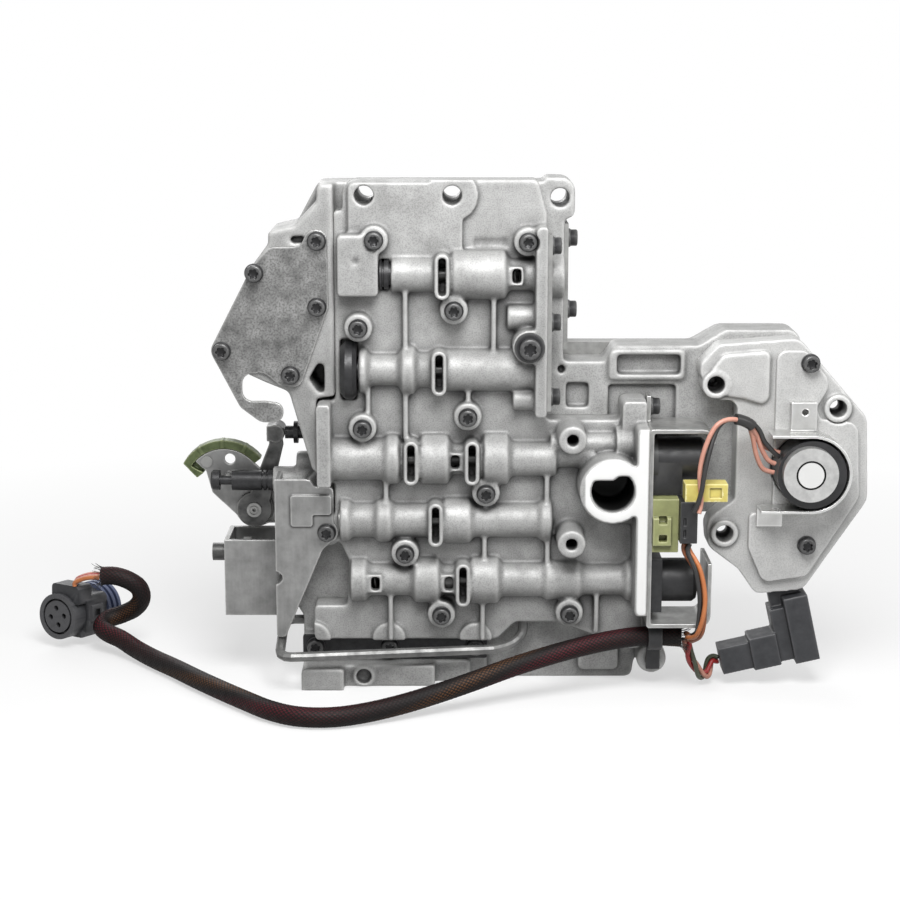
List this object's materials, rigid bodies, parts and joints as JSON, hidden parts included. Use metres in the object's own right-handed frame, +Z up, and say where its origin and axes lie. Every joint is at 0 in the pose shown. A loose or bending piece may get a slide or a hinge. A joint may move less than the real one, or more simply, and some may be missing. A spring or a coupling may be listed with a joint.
{
  "type": "transmission valve body",
  "caption": "Die-cast hydraulic control block of an automatic gearbox with sprung spool valves, hand and throttle levers, solenoids, a governor block and a sleeved harness.",
  "frame": {"origin": "on the face that it rests on, in the plane of the front casting's joint face, on the middle line of the lower block", "axes": "+X right as seen from the front, +Y to the rear face that meets the case, +Z up"},
  "size_m": [0.4335, 0.17, 0.258],
  "materials": {
    "cast": "die-cast, matt",
    "machined": "machined",
    "sheet_steel": "mill finish",
    "dark_steel": "oiled",
    "black_oxide": "black oxide",
    "cam_green": "green coat",
    "black_plastic": "moulded",
    "olive_plastic": "moulded",
    "yellow_plastic": "moulded",
    "braid": "woven sleeve",
    "lead": "insulated",
    "seal": "moulded"
  },
  "bodies": {
    "body": {"valve_housing": "cast", "separator_plate": "sheet_steel", "upper_housing": "cast", "transfer_separator": "sheet_steel", "transfer_plate": "machined", "housing_screws": "black_oxide", "flange_bolt": "black_oxide", "end_cover": "sheet_steel", "upper_end_cover": "sheet_steel", "end_screws": "black_oxide", "side_cover": "sheet_steel", "side_cover_screws": "black_oxide", "ledge_strip": "dark_steel", "ledge_strip_screws": "black_oxide", "first_row_plug": "black_oxide", "second_row_plug": "black_oxide", "lower_row_plugs": "sheet_steel", "limit_spring": "dark_steel", "shuttle_spring": "dark_steel", "upshift_spring": "dark_steel", "downshift_spring": "dark_steel", "clutch_spring": "dark_steel", "adjusting_bracket": "sheet_steel", "regulator_spring": "dark_steel", "pressure_tube": "sheet_steel", "solenoid_bracket": "sheet_steel", "overdrive_solenoid": "black_plastic", "lockup_solenoid": "black_plastic", "solenoid_connector": "olive_plastic", "connector_clip": "black_plastic", "terminal_tag": "yellow_plastic", "governor_body": "cast", "governor_cover": "machined", "governor_screws": "black_oxide", "governor_solenoid": "black_plastic", "solenoid_strap": "sheet_steel", "sensor_connector": "black_plastic", "harness_clip": "black_plastic", "harness_sleeve": "braid", "connector_leads": "lead", "case_connector": "black_plastic", "connector_seal": "seal", "leads": "lead"},
    "manual_lever": {"manual_lever": "sheet_steel", "manual_shaft": "machined", "lever_cam": "cam_green", "cam_rivet": "machined"},
    "throttle_lever": {"throttle_lever": "dark_steel", "throttle_shaft": "machined"},
    "manual_valve": {"manual_valve": "black_oxide"},
    "kickdown_valve": {"kickdown_valve": "black_oxide"},
    "limit_valve": {"limit_valve": "sheet_steel"},
    "shuttle_valve": {"shuttle_valve": "sheet_steel"},
    "upshift_valve": {"upshift_valve": "sheet_steel"},
    "downshift_valve": {"downshift_valve": "sheet_steel"},
    "clutch_valve": {"clutch_valve": "sheet_steel"},
    "regulator_valve": {"regulator_valve": "sheet_steel"},
    "line_pressure_screw": {"line_pressure_screw": "sheet_steel"},
    "spring_seat": {"spring_seat": "sheet_steel"}
  },
  "joints": [
    {"name": "manual_lever_turn", "type": "hinge", "parent": "body", "child": "manual_lever", "pos_m": [-0.102, 0.03, 0.0845], "axis": [0, 1, 0], "range_deg": [-20, 20]},
    {"name": "throttle_lever_turn", "type": "hinge", "parent": "body", "child": "throttle_lever", "pos_m": [-0.102, 0.03, 0.0845], "axis": [0, 1, 0], "range_deg": [0, 11], "stiffness_Nm_per_rad": 0.2, "springref_deg": -17.19},
    {"name": "manual_valve_slide", "type": "slide", "parent": "body", "child": "manual_valve", "axis": [1, 0, 0], "range_m": [-0.0061, 0.0061]},
    {"name": "kickdown_valve_slide", "type": "slide", "parent": "body", "child": "kickdown_valve", "axis": [1, 0, 0], "range_m": [0, 0.0082]},
    {"name": "limit_slide", "type": "slide", "parent": "body", "child": "limit_valve", "axis": [1, 0, 0], "range_m": [0, 0.006], "stiffness_N_per_m": 300, "springref_m": -0.012, "deforming": ["limit_spring"]},
    {"name": "shuttle_slide", "type": "slide", "parent": "body", "child": "shuttle_valve", "axis": [1, 0, 0], "range_m": [0, 0.006], "stiffness_N_per_m": 300, "springref_m": -0.012, "deforming": ["shuttle_spring"]},
    {"name": "upshift_slide", "type": "slide", "parent": "body", "child": "upshift_valve", "axis": [1, 0, 0], "range_m": [0, 0.006], "stiffness_N_per_m": 300, "springref_m": -0.012, "deforming": ["upshift_spring"]},
    {"name": "downshift_slide", "type": "slide", "parent": "body", "child": "downshift_valve", "axis": [1, 0, 0], "range_m": [0, 0.006], "stiffness_N_per_m": 300, "springref_m": -0.012, "deforming": ["downshift_spring"]},
    {"name": "clutch_slide", "type": "slide", "parent": "body", "child": "clutch_valve", "axis": [1, 0, 0], "range_m": [-0.006, 0], "stiffness_N_per_m": 300, "springref_m": 0.012, "deforming": ["clutch_spring"]},
    {"name": "regulator_slide", "type": "slide", "parent": "body", "child": "regulator_valve", "axis": [1, 0, 0], "range_m": [-0.005, 0], "stiffness_N_per_m": 800, "springref_m": 0.012, "deforming": ["regulator_spring"]},
    {"name": "pressure_screw_turn", "type": "hinge", "parent": "body", "child": "line_pressure_screw", "pos_m": [-0.11, 0.0135, 0.064], "axis": [1, 0, 0], "range_deg": [-725, 725]},
    {"name": "spring_seat_slide", "type": "slide", "parent": "body", "child": "spring_seat", "axis": [1, 0, 0], "range_m": [-0.002, 0.002], "deforming": ["regulator_spring"]}
  ],
  "couplings": [
    {"joint": "manual_lever_turn", "follows": "manual_valve_slide", "rad_per_m": 57.143},
    {"joint": "throttle_lever_turn", "follows": "kickdown_valve_slide", "rad_per_m": 23.364},
    {"joint": "pressure_screw_turn", "follows": "spring_seat_slide", "rad_per_m": 6283.2}
  ]
}
